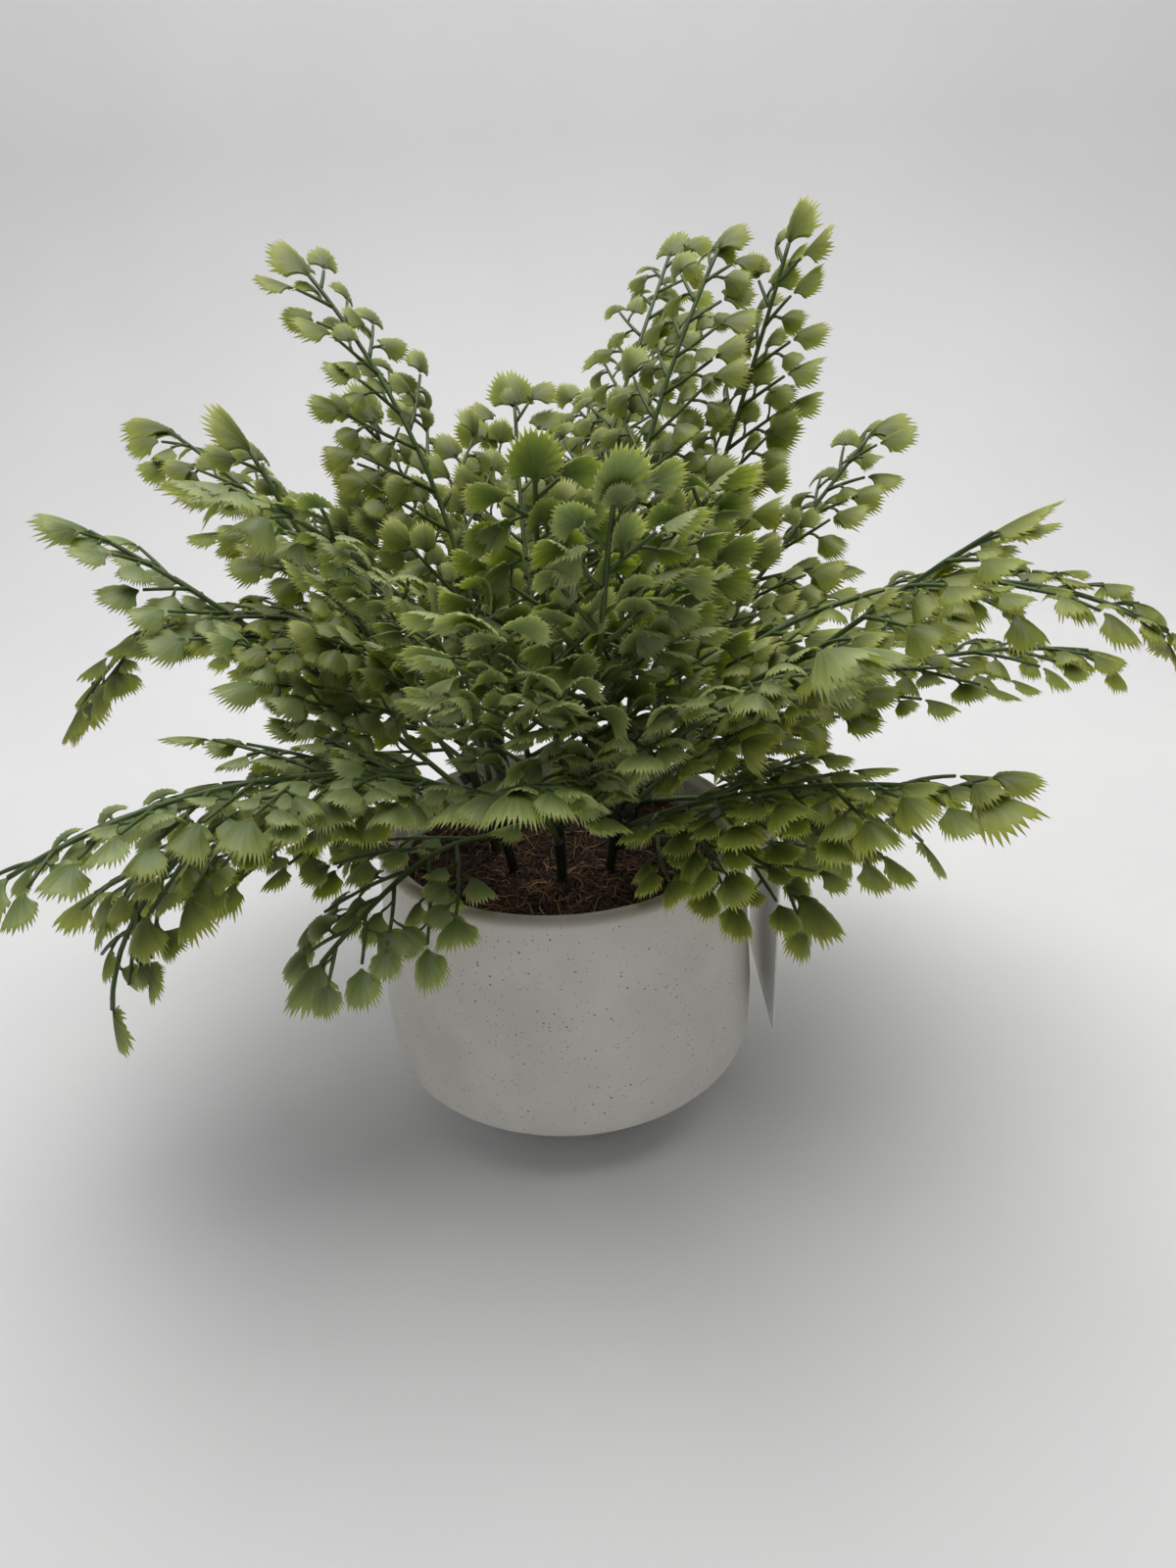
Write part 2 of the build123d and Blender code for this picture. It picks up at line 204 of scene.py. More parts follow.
# %% A collector for points and faces
class Growth:
    def __init__(self):
        self.points, self.faces, self.finish = [], [], []
        self.tone, self.edge, self.streak = [], [], []
        self.count = 0

    def add(self, points, faces, finish, tone, edge, streak):
        self.points.append(np.asarray(points, float))
        self.faces.extend([tuple(int(i) + self.count for i in f) for f in faces])
        self.finish.extend([finish] * len(faces))
        n = len(points)
        self.tone.append(np.full(n, tone))
        self.edge.append(np.broadcast_to(np.asarray(edge, float), (n,)))
        self.streak.append(np.broadcast_to(np.asarray(streak, float), (n,)))
        self.count += n

    def build(self, name, materials, body):
        mesh = bpy.data.meshes.new(name)
        mesh.from_pydata(np.concatenate(self.points).tolist(), [], self.faces)
        for material in materials:
            mesh.materials.append(material)
        mesh.polygons.foreach_set("material_index", self.finish)
        mesh.polygons.foreach_set("use_smooth", [True] * len(self.faces))
        for label, values in (("tone", self.tone), ("edge", self.edge), ("streak", self.streak)):
            attribute = mesh.attributes.new(label, "FLOAT", "POINT")
            attribute.data.foreach_set("value", np.concatenate(values).astype(np.float32))
        mesh.update()
        piece = bpy.data.objects.new(name, mesh)
        bpy.context.scene.collection.objects.link(piece)
        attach(piece, body)
        return piece


def unit(v):
    return v / max(1e-12, np.linalg.norm(v))


def tube(growth, path, radii, sides, finish, tone, edge=0.0):
    path = np.asarray(path, float)
    tangents = np.gradient(path, axis=0)
    side = unit(np.cross(tangents[0], (0.13, 0.21, 0.97)))
    rings = []
    for p, t, r in zip(path, tangents, radii):
        t = unit(t)
        side = unit(side - t * side.dot(t))
        other = np.cross(t, side)
        angle = np.arange(sides) * 2 * math.pi / sides
        rings.append(p + r * (np.outer(np.cos(angle), side) + np.outer(np.sin(angle), other)))
    points = np.concatenate(rings + [path[-1:] + unit(tangents[-1]) * radii[-1] * 0.6])
    faces = []
    for i in range(len(path) - 1):
        for j in range(sides):
            a, b = i * sides + j, i * sides + (j + 1) % sides
            faces.append((a, b, b + sides, a + sides))
    last = (len(path) - 1) * sides
    for j in range(sides):
        faces.append((last + j, last + (j + 1) % sides, len(points) - 1))
    faces.append(tuple(range(sides - 1, -1, -1)))
    growth.add(points, faces, finish, tone, edge, 0.5)


print("collector ready")

# %% [markdown]
# ## The moulded leaflet
# Each leaflet comes out of the mould as one thin sheet: a wedge-shaped base that widens to
# a rounded fan, pleated by fine ribs, cupped downwards, with a fringe of short pointed hairs
# round its outer edge. We make a few leaflets once, in their own small frame (x along the
# middle rib, z up), with a top and a bottom skin, and copy them by arithmetic afterwards.

# %% Leaflet templates
SHEET = 0.38 * MM          # thickness of the moulded sheet
RINGS = 4
RIB_DEPTH = 0.018          # pleats of the blade, as a share of its length
CELLS = 22
FAN = math.radians(68)


def leaflet(rng):
    """Unit-size leaflet: blade points, fringe tip points, edge value and streak value."""
    cup = rng.uniform(0.4, 1.15)
    hook = rng.uniform(0.05, 0.6)
    broad = rng.uniform(0.72, 0.98)
    angles = np.linspace(-FAN, FAN, CELLS + 1)
    reach = 0.86 * (0.42 + 0.58 * np.cos(angles * 1.12)) * np.array(
        [rng.uniform(0.95, 1.05) for _ in angles])
    top, edge, streak = [], [], []
    column = [rng.uniform(0, 1) for _ in angles]
    for ring in range(RINGS + 1):
        t = (ring + 0.35) / (RINGS + 0.35)
        for j, (a, r) in enumerate(zip(angles, reach)):
            squeeze = 0.35 + 0.65 * t ** 0.6
            x = r * t * math.cos(a * squeeze)
            y = r * t * math.sin(a * squeeze) * broad
            z = -cup * y * y * 1.6 - hook * x * x * 0.6 + (RIB_DEPTH if j % 2 else -RIB_DEPTH) * t
            top.append((x, y, z))
            edge.append(t ** 2.2 * 0.75)
            streak.append(column[j])
    hairs = []
    for j in range(CELLS):
        a = (angles[j] + angles[j + 1]) / 2
        lean = a * 0.92
        r = (reach[j] + reach[j + 1]) / 2
        longer = rng.uniform(0.15, 0.25) * (1.0 if abs(a) < FAN * 0.8 else 0.4)
        x = r * math.cos(a) + longer * math.cos(lean)
        y = (r * math.sin(a) + longer * math.sin(lean)) * broad
        z = -cup * y * y * 1.6 - hook * x * x * 0.6 + rng.uniform(-0.03, 0.03)
        hairs.append((x, y, z))
    return np.array(top), np.array(hairs), np.array(edge), np.array(streak)


def leaflet_faces():
    """Quads of both skins, the closed rim and the fringe, as indices."""
    w = CELLS + 1
    skin = w * (RINGS + 1)
    faces = []
    for i in range(RINGS):
        for j in range(CELLS):
            a = i * w + j
            faces.append((a, a + w, a + w + 1, a + 1))
            b = a + skin
            faces.append((b, b + 1, b + w + 1, b + w))
    outer = RINGS * w
    for j in range(CELLS):
        a, b = outer + j, outer + j + 1
        hair = 2 * skin + j
        faces.append((a, hair, b))
        faces.append((b + skin, hair, a + skin))
        faces.append((a, a + skin, hair))
        faces.append((b, hair, b + skin))
        faces.append((j + 1, j + 1 + skin, j + skin, j))
    for i in range(RINGS):
        a, b = i * w, (i + 1) * w
        faces.append((a, a + skin, b + skin, b))
        a, b = i * w + CELLS, (i + 1) * w + CELLS
        faces.append((b, b + skin, a + skin, a))
    return faces


rng = random.Random(11)
LEAFLETS = [leaflet(rng) for _ in range(9)]
LEAF_FACES = leaflet_faces()
print("leaflet templates", len(LEAFLETS), "with", len(LEAF_FACES), "faces each")


# %% [markdown]
# ## Copying a leaflet into place
# Each copy gets three axes of its own: forward along its middle rib, across, and up. The
# lower skin follows the upper one and comes closer to it towards the fringe, as the moulded
# sheet does.


# %% Put one leaflet in place
def put_leaflet(growth, base, forward, up, size, template, tone):
    x = unit(forward)
    z = unit(up - x * np.dot(up, x))
    y = np.cross(z, x)
    top, hairs, edge, streak = template
    axes = np.stack([x, y, z])
    upper = base + (top * size) @ axes
    lower = upper - z * SHEET * (1.25 - 0.7 * edge)[:, None]
    tips = base + (hairs * size) @ axes - z * SHEET * 0.5
    growth.add(np.concatenate([upper, lower, tips]), LEAF_FACES, 0, tone,
               np.concatenate([edge, edge, np.full(len(hairs), 1.0)]),
               np.concatenate([streak, streak, np.full(len(hairs), 0.6)]))


print("leaflet sheet", round(SHEET / MM, 2), "mm thick")

# %% [markdown]
# ## Polyethylene for leaves and stems
# The sprays are injection-moulded polyethylene: soft, a little waxy and slightly see-through
# where they are thin. Light from behind shows through them, so the leaf finish scatters light
# under its skin over about a millimetre. The pigment is darker in the thick middle of each
# leaflet and yellower in the thin fringe; each spray leaves the mould a slightly different
# green, so a tone number per leaflet shifts the colour.


# %% Moulded polyethylene, leaf and stem
def leaf_plastic(name, dark, middle, fringe):
    material, tree, shader = start_material(name)
    tone = add_node(tree, "ShaderNodeAttribute", {"attribute_name": "tone"})
    edge = add_node(tree, "ShaderNodeAttribute", {"attribute_name": "edge"})
    streak = add_node(tree, "ShaderNodeAttribute", {"attribute_name": "streak"})
    body = add_node(tree, "ShaderNodeMix", {"data_type": "RGBA"},
                    {6: from_hex(dark), 7: from_hex(middle)}, {0: tone.outputs["Fac"]})
    fine = add_node(tree, "ShaderNodeMath", {"operation": "MULTIPLY_ADD"},
                    {1: 0.22, 2: -0.11}, {0: streak.outputs["Fac"]})
    reach = add_node(tree, "ShaderNodeMath", {"operation": "ADD", "use_clamp": True},
                     links={0: edge.outputs["Fac"], 1: fine.outputs["Value"]})
    pale = add_node(tree, "ShaderNodeMix", {"data_type": "RGBA"}, {7: from_hex(fringe)},
                    {0: reach.outputs["Value"], 6: body.outputs[2]})
    tree.links.new(pale.outputs[2], shader.inputs["Base Color"])
    place = add_node(tree, "ShaderNodeTexCoord").outputs["Object"]
    grain = add_node(tree, "ShaderNodeTexNoise", values={"Scale": 1000 / 0.9, "Detail": 2.0},
                     links={"Vector": place})
    bump = add_node(tree, "ShaderNodeBump", values={"Strength": 0.25, "Distance": 0.0002},
                    links={"Height": grain.outputs["Fac"]})
    tree.links.new(bump.outputs["Normal"], shader.inputs["Normal"])
    shader.inputs["IOR"].default_value = 1.51
    shader.inputs["Roughness"].default_value = 0.5
    shader.inputs["Subsurface Weight"].default_value = 0.55
    shader.inputs["Subsurface Radius"].default_value = (0.8, 0.9, 0.2)
    shader.inputs["Subsurface Scale"].default_value = 0.0016
    return material


def stem_plastic(name, low, high, roughness):
    material, tree, shader = start_material(name)
    place = add_node(tree, "ShaderNodeTexCoord").outputs["Object"]
    noise = add_node(tree, "ShaderNodeTexNoise", values={"Scale": 1000 / 7.0, "Detail": 4.0},
                     links={"Vector": place})
    body = add_node(tree, "ShaderNodeValToRGB", links={"Fac": noise.outputs["Fac"]})
    set_stops(body, [(0.3, from_hex(low)), (0.7, from_hex(high))])
    tree.links.new(body.outputs["Color"], shader.inputs["Base Color"])
    fine = add_node(tree, "ShaderNodeTexNoise", values={"Scale": 1000 / 0.8, "Detail": 2.0},
                    links={"Vector": place})
    bump = add_node(tree, "ShaderNodeBump", values={"Strength": 0.3, "Distance": 0.0002},
                    links={"Height": fine.outputs["Fac"]})
    tree.links.new(bump.outputs["Normal"], shader.inputs["Normal"])
    shader.inputs["IOR"].default_value = 1.51
    shader.inputs["Roughness"].default_value = roughness
    return material


leaf_green = leaf_plastic("polyethylene_leaf_green", "#3f4a17", "#5f6b25", "#99a04e")
# A paler, bluer copy of the same plastic: painted sheen, light grazing the tops of the front sprays
# painted into their colour.
leaf_painted_sheen = leaf_plastic("polyethylene_leaf_painted_sheen", "#47592a", "#687a42", "#9ba46c")
stem_green = stem_plastic("polyethylene_stem_green", "#384a20", "#526630", 0.42)
stalk_dark = stem_plastic("coated_wire_dark", "#14180f", "#2a3020", 0.48)
print("leaf and stem finishes made")

# %% [markdown]
# ## The sprays
# One row per spray gives its stalk, the height of its socket, its heading, length and the
#  rise of its stem at base and tip, the same bends as the solid model, and last a flag for the
#  paler leaf finish that carries painted sheen. The stem is a single arc. Branches leave it
#  left and right in turn, shorter towards the tip, and each carries a few leaflets on little
#  stalks and one at its end. A large leaflet closes the spray.

# %% The table of sprays
SPRAYS = [
    (1, 129, -10, 175, 60, -30, 0),
    (1, 123, 12, 160, 28, -12, 0),
    (1, 117, 5, 105, 12, -48, 0),
    (1, 111, -14, 80, 10, -30, 0),
    (2, 129, 52, 160, 85, 48, 0),
    (2, 123, 33, 168, 58, 72, 0),
    (2, 117, 27, 140, 48, 40, 0),
    (2, 111, 50, 150, 35, -40, 0),
    (2, 105, 24, 140, 34, 2, 0),
    (3, 129, 66, 185, 60, 40, 0),
    (3, 123, 99, 120, 55, 60, 0),
    (3, 117, 81, 150, 45, 38, 0),
    (3, 111, 92, 160, 30, -45, 0),
    (4, 129, 142, 160, 85, 45, 0),
    (4, 123, 150, 165, 50, 25, 0),
    (4, 117, 126, 125, 58, 60, 0),
    (4, 111, 128, 155, 35, -42, 0),
    (4, 105, 145, 145, 32, 2, 0),
    (5, 129, 173, 158, 72, -55, 0),
    (5, 121, 165, 120, 58, 64, 0),
    (5, 114, 185, 140, 50, 36, 1),
    (5, 107, 193, 125, 20, -25, 0),
    (6, 129, 228, 130, 84, 26, 1),
    (6, 123, 217, 142, 40, -18, 1),
    (6, 117, 208, 155, 55, -80, 0),
    (6, 111, 230, 76, 20, -30, 1),
    (7, 129, 274, 102, 85, 65, 1),
    (7, 123, 288, 120, 56, 66, 1),
    (7, 117, 256, 105, 58, 50, 1),
    (7, 111, 262, 80, 58, 20, 1),
    (8, 129, 303, 103, 80, 52, 1),
    (8, 123, 301, 108, 52, 30, 1),
    (8, 117, 328, 140, 50, 38, 0),
    (8, 111, 319, 118, 36, 8, 0),
    (8, 105, 321, 66, 32, -28, 0),
]
FOOT_R, TOP_R = 22.0, 29.0
FOOT_Z, TOP_Z = 93.9, 129.0
SLEEVE_OFFSET = 2.9


def polar(r, azimuth, z):
    a = math.radians(azimuth)
    return np.array((r * math.cos(a), r * math.sin(a), z))


def socket(row):
    k, z, heading = row[:3]
    azimuth = (k - 1) * 45.0
    share = (z - FOOT_Z) / (TOP_Z - FOOT_Z)
    knot = polar(FOOT_R + (TOP_R - FOOT_R) * share, azimuth, z)
    if z == TOP_Z:
        return knot
    lean = unit(polar(TOP_R, azimuth, TOP_Z) - polar(FOOT_R, azimuth, FOOT_Z))
    out = polar(1, heading, 0)
    return knot + unit(out - lean * out.dot(lean)) * SLEEVE_OFFSET


def on_stem(row, s):
    """Point, direction and upper side of a spray's stem, in metres."""
    heading, length, rise_base, rise_tip = row[2:6]
    a0, bend = math.radians(rise_base), math.radians(rise_tip - rise_base)
    a = a0 + bend * s
    radius = length / bend
    run = radius * (math.sin(a) - math.sin(a0))
    rise = radius * (math.cos(a0) - math.cos(a))
    out = polar(1, heading, 0)
    up = np.array((0, 0, 1.0))
    point = (socket(row) + out * run + up * rise) * MM
    return point, out * math.cos(a) + up * math.sin(a), up * math.cos(a) - out * math.sin(a)


print("sprays", len(SPRAYS))


# %% [markdown]
# ## Room round the lip of the pot
# Leaves rest against the lip but never pass through it. A branch or leaflet that would lie
# in the fibre, beside the wall or inside the lip is left out, so these four sizes describe
# the space that has to stay free, a few millimetres larger than the pot itself.


# %% Keep leaves out of the pot
FIBRE_CLEAR_Z = 0.095
WALL_CLEAR_Z = 0.103
LIP_CLEAR_Z = 0.108
LIP_CLEAR_R = (0.050, 0.069)


def in_pot(point):
    r = math.hypot(point[0], point[1])
    in_fibre = point[2] < FIBRE_CLEAR_Z
    beside_wall = point[2] < WALL_CLEAR_Z and r < LIP_CLEAR_R[1]
    in_lip = point[2] < LIP_CLEAR_Z and LIP_CLEAR_R[0] < r < LIP_CLEAR_R[1]
    return in_fibre or beside_wall or in_lip


print("kept free up to", round(LIP_CLEAR_Z / MM), "mm")

# %% [markdown]
# ## Side branches
# A branch is a thin tube that sags a little under its own weight. Leaflets sit left and
# right of it in turn on short stalks, each rolled a little differently, and one larger
# leaflet closes the end.


# %% Grow one side branch
LEAF_SPACING = 5.6 * MM
FORWARD_CURVE = 0.16       # how far a branch bends towards the tip of the spray


def grow_branch(growth, start, direction, forward, upper, length, rng, tone):
    down = np.array((0, 0, -1.0))
    sag = rng.uniform(0.02, 0.22)
    u = np.linspace(0, 1, 6)
    path = start + np.outer(u, direction) * length + np.outer(
        u * u, forward * FORWARD_CURVE + down * sag) * length
    if any(in_pot(p) for p in path[1:]):
        return 0
    tube(growth, path, np.linspace(0.74, 0.5, 6) * MM, 5, 1, tone)
    count = max(0, int(round(length / LEAF_SPACING)) - 1)
    made = 0
    flip = rng.choice((-1, 1))
    for i in range(count + 1):
        last = i == count
        s = 1.0 if last else 0.30 + 0.62 * i / max(1, count)
        here = start + direction * length * s + (forward * FORWARD_CURVE + down * sag) * length * s * s
        along = unit(direction + (forward * 0.32 + down * 2 * sag) * s)
        across = np.cross(upper, along) * (flip if i % 2 else -flip)
        if last:
            way, stalk, size = along, 0.8 * MM, rng.uniform(10.0, 13.0) * MM
        else:
            way = unit(along * 0.62 + across * 0.8 + upper * rng.uniform(-0.3, 0.25))
            stalk, size = rng.uniform(2.6, 4.6) * MM, rng.uniform(8.0, 11.0) * MM
        base = here + way * stalk
        if in_pot(base) or in_pot(base + way * size):
            continue
        if not last:
            middle = (here + base) / 2 + along * 0.4 * MM
            tube(growth, [here, middle, base + way * 0.4 * MM],
                 np.array((0.5, 0.45, 0.6)) * MM, 4, 1, tone)
        roll = unit(upper + across * rng.uniform(-0.55, 0.55) + along * rng.uniform(-0.3, 0.45)
                    - down * 0.25)
        put_leaflet(growth, base, way, roll, size, rng.choice(LEAFLETS),
                    min(1.0, max(0.0, tone + rng.uniform(-0.3, 0.3))))
        made += 1
    return made


print("one leaflet every", round(LEAF_SPACING / MM, 1), "mm of branch")

# %% [markdown]
# ## Whole sprays
# The stem sways slightly from its arc, because a soft moulding never comes out of its bag
# straight. Branches start after a bare stretch and shorten towards the tip. Each finished
# spray takes the place of its plain solid and rides on the same stalk.


# %% Grow a whole spray
BARE = 0.13                # share of a stem with no branches
PITCH_MM = 6.4             # spacing of branches, left and right in turn


def grow_spray(number, row):
    rng = random.Random(100 + number)
    growth = Growth()
    length = row[3]
    lateral = np.cross(on_stem(row, 0.5)[2], on_stem(row, 0.5)[1])
    wave = rng.uniform(0, 6.28)

    def centre(s):
        point, along, upper = on_stem(row, s)
        sway = (math.sin(s * 5.0 + wave) - math.sin(wave)) * 1.6 * MM * min(1, s * 3)
        return point + lateral * sway, along, upper

    steps = np.linspace(0.6 / length, 1.0, 26)
    path = [centre(s)[0] for s in steps]
    radii = np.linspace(0.95, 0.7, 26) * MM
    tone = rng.uniform(0.25, 0.75)
    tube(growth, path, radii, 8, 1, tone)
    count = int(length * (1 - BARE) / PITCH_MM)
    leaves = 0
    for i in range(count):
        fade = i / max(1, count - 1)
        s = BARE + (1 - BARE) * (i + 0.3 * rng.random()) / count
        point, along, upper = centre(min(s, 0.985))
        side = 1 if (i + number) % 2 else -1
        angle = math.radians(rng.uniform(44, 58) - 10 * fade)
        tilt = rng.uniform(-0.28, 0.22)
        direction = unit(along * math.cos(angle) + lateral * side * math.sin(angle)
                         + upper * tilt)
        reach = (34 - 25 * fade ** 1.15) * rng.uniform(0.85, 1.12) * min(1, 0.75 + 2 * fade)
        leaves += grow_branch(growth, point, direction, along, upper, reach * MM, rng, tone)
    point, along, upper = centre(1.0)
    put_leaflet(growth, point - along * 0.5 * MM, along, upper, rng.uniform(14.5, 18) * MM,
                rng.choice(LEAFLETS), tone)
    node = "frond_%02d" % number
    bodies = frame["record"]["behaviour"]["bodies"]
    body = next(b for b, nodes in bodies.items() if node in nodes)
    # Flagged sprays take the paler leaf finish, which is painted sheen rather than a different
    # plastic.
    leaf = leaf_painted_sheen if row[6] else leaf_green
    piece = growth.build("spray_%02d" % number, [leaf, stem_green], body)
    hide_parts(node)
    return leaves + 1


total = sum(grow_spray(i + 1, row) for i, row in enumerate(SPRAYS))
print("leaflets", total)

# %% [markdown]
# ## Stalks
# The main stalks are steel wire in a dark plastic coat, with moulded sleeves for the sprays.
# Their solids are right, so they stay and only take the coated-wire finish.

# %% Finish the stalks
for name, node in frame["nodes"].items():
    if name.startswith("stalk"):
        node.data.materials.clear()
        node.data.materials.append(stalk_dark)
        for polygon in node.data.polygons:
            polygon.use_smooth = True
print("stalks finished")

# %% [markdown]
# ## Coir
# The foam is hidden under loose coconut fibre: short, curly, brown to straw-coloured strands
# pressed into a lumpy mat. A displaced disc gives the lumps, and a couple of thousand thin
# curved strands lie on it in every direction.


# %% Coir finish and mat
def coir_finish():
    material, tree, shader = start_material("coconut_coir")
    tone = add_node(tree, "ShaderNodeAttribute", {"attribute_name": "tone"})
    body = add_node(tree, "ShaderNodeValToRGB", links={"Fac": tone.outputs["Fac"]})
    set_stops(body, [(0.0, from_hex("#1c120c")), (0.45, from_hex("#3a2717")),
                     (0.8, from_hex("#6b4a2a")), (1.0, from_hex("#a07a4c"))])
    tree.links.new(body.outputs["Color"], shader.inputs["Base Color"])
    place = add_node(tree, "ShaderNodeTexCoord").outputs["Object"]
    noise = add_node(tree, "ShaderNodeTexNoise", values={"Scale": 1000 / 0.7, "Detail": 3.0},
                     links={"Vector": place})
    bump = add_node(tree, "ShaderNodeBump", values={"Strength": 0.6, "Distance": 0.0004},
                    links={"Height": noise.outputs["Fac"]})
    tree.links.new(bump.outputs["Normal"], shader.inputs["Normal"])
    shader.inputs["Roughness"].default_value = 0.85
    return material


coir = coir_finish()
low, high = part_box("moss_layer")
MAT_R = (high.x - low.x) / 2 - 0.3 * MM
MAT_Z = high.z


def mat_height(x, y):
    lumps = math.sin(x * 310 + 1.3) * math.cos(y * 270 - 0.4) + 0.6 * math.sin(x * 640 - y * 590)
    r = math.hypot(x, y) / MAT_R
    return MAT_Z + 0.0009 * lumps - 0.0022 * r ** 6


def coir_mat():
    growth = Growth()
    rng = random.Random(5)
    rings, spokes = 34, 110
    points, tone = [(0, 0, mat_height(0, 0))], [0.3]
    for i in range(1, rings + 1):
        r = MAT_R * i / rings
        for j in range(spokes):
            a = 2 * math.pi * (j + 0.5 * (i % 2)) / spokes
            x, y = r * math.cos(a), r * math.sin(a)
            points.append((x, y, mat_height(x, y) + rng.uniform(-0.5, 0.5) * MM))
            tone.append(rng.uniform(0.05, 0.5))
    faces = [(0, 1 + j, 1 + (j + 1) % spokes) for j in range(spokes)]
    for i in range(1, rings):
        a, b = 1 + (i - 1) * spokes, 1 + i * spokes
        for j in range(spokes):
            k = (j + 1) % spokes
            faces.append((a + j, b + j, b + k, a + k))
    last = 1 + (rings - 1) * spokes
    skirt = len(points)
    for j in range(spokes):
        x, y, z = points[last + j]
        points.append((x, y, low.z + 0.001))
        tone.append(0.1)
    for j in range(spokes):
        k = (j + 1) % spokes
        faces.append((last + j, skirt + j, skirt + k, last + k))
    growth.add(points, faces, 0, 0.0, 0.0, 0.0)
    growth.tone[-1] = np.array(tone)
    piece = growth.build("coir_mat", [coir], "planter")
    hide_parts("moss_layer")
    return piece


def coir_strands(count):
    growth = Growth()
    rng = random.Random(8)
    for _ in range(count):
        r = MAT_R * 0.97 * math.sqrt(rng.random())
        a = rng.uniform(0, 2 * math.pi)
        x, y = r * math.cos(a), r * math.sin(a)
        heading = rng.uniform(0, 2 * math.pi)
        curl = rng.uniform(-2.2, 2.2)
        size = rng.uniform(5, 19) * MM
        lift = rng.uniform(0.2, 2.6) * MM
        path = []
        for i in range(7):
            s = i / 6
            path.append((x, y, mat_height(x, y) + 0.2 * MM + lift * math.sin(math.pi * s)))
            x += math.cos(heading) * size / 6
            y += math.sin(heading) * size / 6
            heading += curl / 6 + rng.uniform(-0.25, 0.25)
        if max(math.hypot(p[0], p[1]) for p in path) > MAT_R - 0.3 * MM:
            continue
        thick = rng.uniform(0.09, 0.24) * MM
        tube(growth, path, [thick] * 7, 4, 0, rng.random() ** 1.6)
    return growth.build("coir_strands", [coir], "planter")


coir_mat()
coir_strands(2600)
print("coir laid, radius", round(MAT_R * 1000, 1), "mm")

# %% [markdown]
# ## Foam, tag and loop
# Floral foam is dark green and open-celled, and stays hidden. The tag is uncoated white card
# with a faint fibre texture. Its loop is clear nylon line, drawn as a pale glossy plastic.


# %% Foam, card and nylon
def foam_finish():
    material, tree, shader = start_material("floral_foam")
    place = add_node(tree, "ShaderNodeTexCoord").outputs["Object"]
    cells = add_node(tree, "ShaderNodeTexVoronoi", values={"Scale": 1000 / 0.8},
                     links={"Vector": place})
    body = add_node(tree, "ShaderNodeValToRGB", links={"Fac": cells.outputs["Distance"]})
    set_stops(body, [(0.1, from_hex("#1d3a1c")), (0.8, from_hex("#36602f"))])
    tree.links.new(body.outputs["Color"], shader.inputs["Base Color"])
    shader.inputs["Roughness"].default_value = 0.9
    return material


def card_finish():
    material, tree, shader = start_material("uncoated_card")
    place = add_node(tree, "ShaderNodeTexCoord").outputs["Object"]
    fibre = add_node(tree, "ShaderNodeTexNoise", values={"Scale": 1000 / 1.2, "Detail": 5.0},
                     links={"Vector": place})
    body = add_node(tree, "ShaderNodeValToRGB", links={"Fac": fibre.outputs["Fac"]})
    set_stops(body, [(0.25, from_hex("#ecebe7")), (0.75, from_hex("#f6f5f2"))])
    tree.links.new(body.outputs["Color"], shader.inputs["Base Color"])
    bump = add_node(tree, "ShaderNodeBump", values={"Strength": 0.15, "Distance": 0.0001},
                    links={"Height": fibre.outputs["Fac"]})
    tree.links.new(bump.outputs["Normal"], shader.inputs["Normal"])
    shader.inputs["Roughness"].default_value = 0.62
    return material


def nylon_finish():
    material, tree, shader = start_material("nylon_line")
    place = add_node(tree, "ShaderNodeTexCoord").outputs["Object"]
    haze = add_node(tree, "ShaderNodeTexNoise", values={"Scale": 1000 / 2.0},
                    links={"Vector": place})
    body = add_node(tree, "ShaderNodeValToRGB", links={"Fac": haze.outputs["Fac"]})
    set_stops(body, [(0.3, from_hex("#c9c9c4")), (0.7, from_hex("#e4e4e0"))])
    tree.links.new(body.outputs["Color"], shader.inputs["Base Color"])
    shader.inputs["Roughness"].default_value = 0.25
    shader.inputs["IOR"].default_value = 1.53
    return material


for name, finish, slot_name in (("foam_plug", foam_finish(), "foam"),
                                ("hang_tag", card_finish(), "card"),
                                ("tag_loop", nylon_finish(), "nylon")):
    node = frame["nodes"][name]
    node.data.materials.clear()
    node.data.materials.append(finish)
print("foam, tag and loop finished")

# %% [markdown]
# ## Floor
# A roll of white paper comes forward under the planter and curves up behind it, so there is
# no line between floor and wall.


# %% Floor and backdrop
def paper_finish():
    material, tree, shader = start_material("seamless_paper")
    place = add_node(tree, "ShaderNodeTexCoord").outputs["Object"]
    cloud = add_node(tree, "ShaderNodeTexNoise", values={"Scale": 1000 / 160, "Detail": 3.0},
                     links={"Vector": place})
    body = add_node(tree, "ShaderNodeValToRGB", links={"Fac": cloud.outputs["Fac"]})
    set_stops(body, [(0.3, from_hex("#e6e6e8")), (0.7, from_hex("#eaeaeb"))])
    tree.links.new(body.outputs["Color"], shader.inputs["Base Color"])
    shader.inputs["Roughness"].default_value = 0.7
    return material


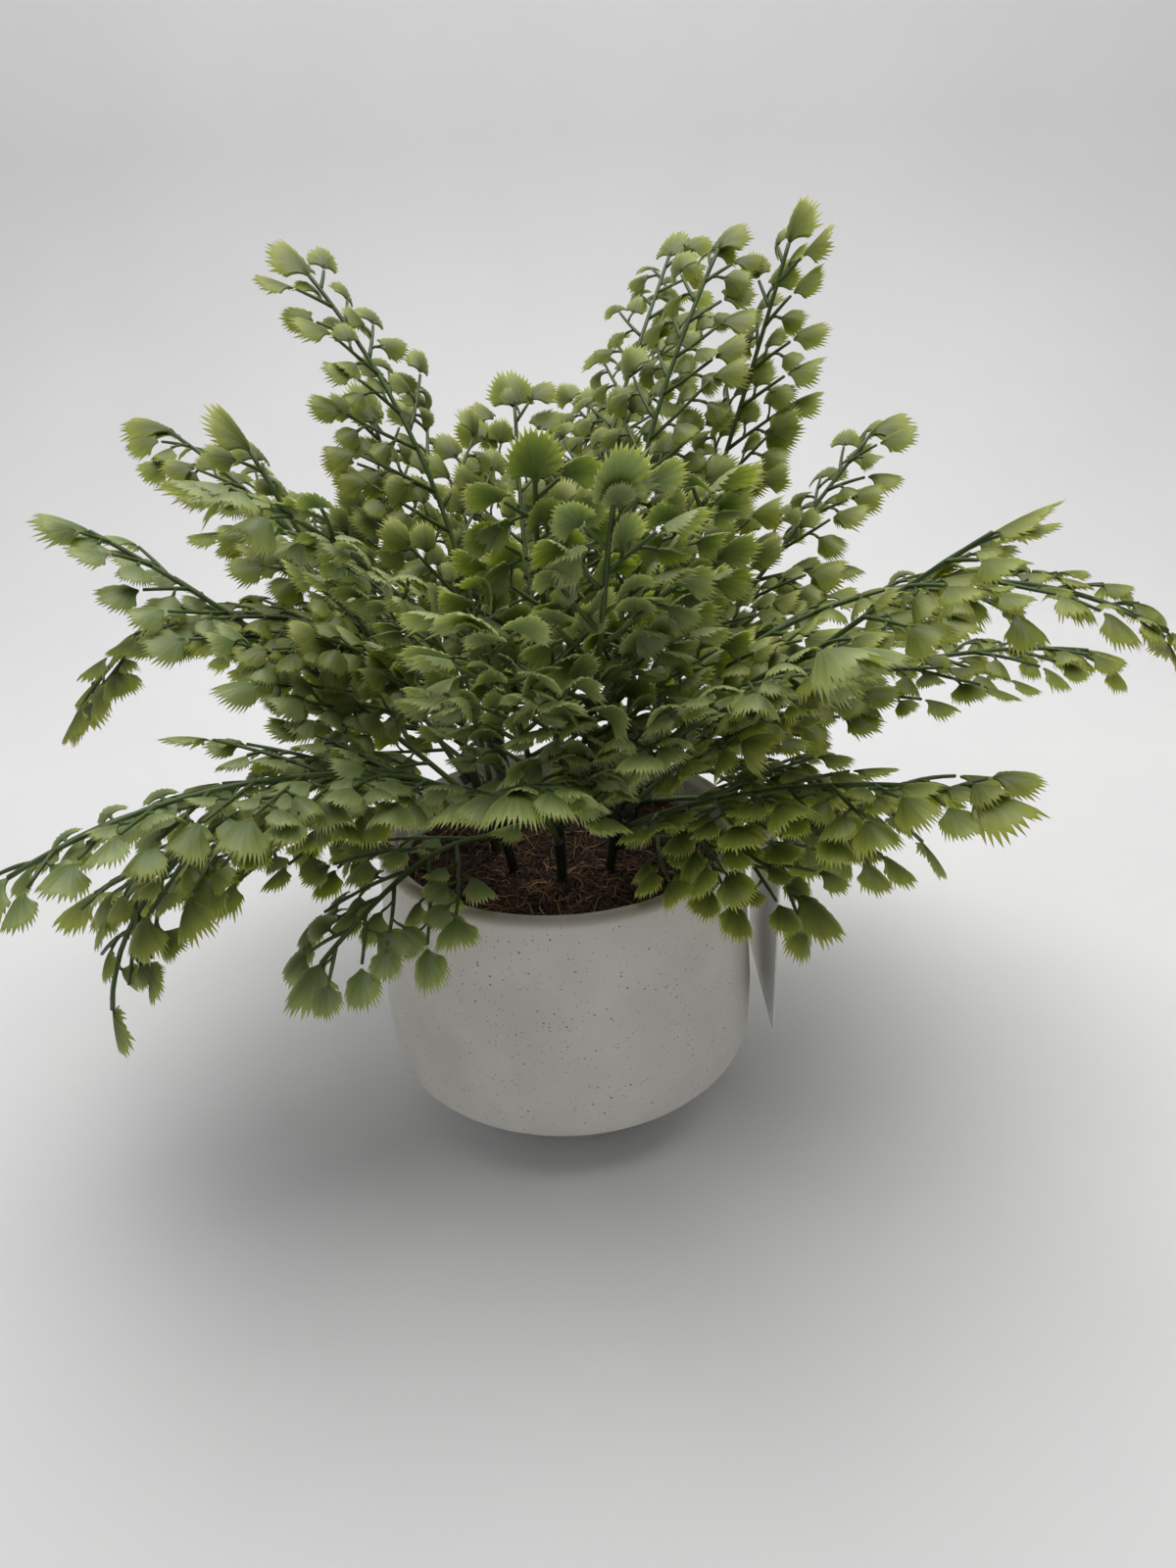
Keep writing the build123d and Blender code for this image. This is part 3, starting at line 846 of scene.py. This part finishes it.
def sweep_floor():
    profile = [(-1.6, 0.0), (0.45, 0.0)]
    for i in range(1, 13):
        a = i / 12 * math.pi / 2
        profile.append((0.45 + 0.35 * math.sin(a), 0.35 - 0.35 * math.cos(a)))
    profile.append((0.8, 1.7))
    points = [(x, y, z) for y, z in profile for x in (-2.0, 2.0)]
    faces = [(2 * i, 2 * i + 1, 2 * i + 3, 2 * i + 2) for i in range(len(profile) - 1)]
    mesh = bpy.data.meshes.new("paper_roll")
    mesh.from_pydata(points, [], faces)
    mesh.polygons.foreach_set("use_smooth", [True] * len(faces))
    mesh.materials.append(paper_finish())
    floor = bpy.data.objects.new("paper_roll", mesh)
    bpy.context.scene.collection.objects.link(floor)
    return floor


paper = sweep_floor()
print("paper roll", [round(side, 2) for side in paper.dimensions], "m")

# %% [markdown]
# ## Lamps
# The main lamp is a metre and a half wide and hangs above the plant, so shadows stay soft
# and the front of the pot falls into mild shade. A weak lamp on the left keeps the leaves
# there from going black, and a dim pale room does the rest.


# %% Lamps and surroundings
def soft_lamp(name, place, aim, size, power, colour):
    data = bpy.data.lights.new(name, "AREA")
    data.shape = "RECTANGLE"
    data.size, data.size_y = size
    data.energy = power
    data.color = from_hex(colour)[:3]
    lamp = bpy.data.objects.new(name, data)
    lamp.location = place
    direction = Vector(aim) - Vector(place)
    lamp.rotation_euler = direction.to_track_quat("-Z", "Y").to_euler()
    bpy.context.scene.collection.objects.link(lamp)
    return lamp


soft_lamp("top_back_lamp", (0.1, 0.12, 1.35), (0.0, 0.06, 0.0), (1.5, 1.2), 18.0, "#fffefa")
soft_lamp("left_fill_lamp", (-1.1, -0.2, 0.9), (0.0, 0.0, 0.1), (0.9, 0.9), 1.2, "#f4f7ff")
world = bpy.data.worlds.new("pale_room")
world.use_nodes = True
world.node_tree.nodes["Background"].inputs["Color"].default_value = from_hex("#e8ebf0")
world.node_tree.nodes["Background"].inputs["Strength"].default_value = 0.2
bpy.context.scene.world = world
bpy.context.scene.view_settings.view_transform = "Standard"
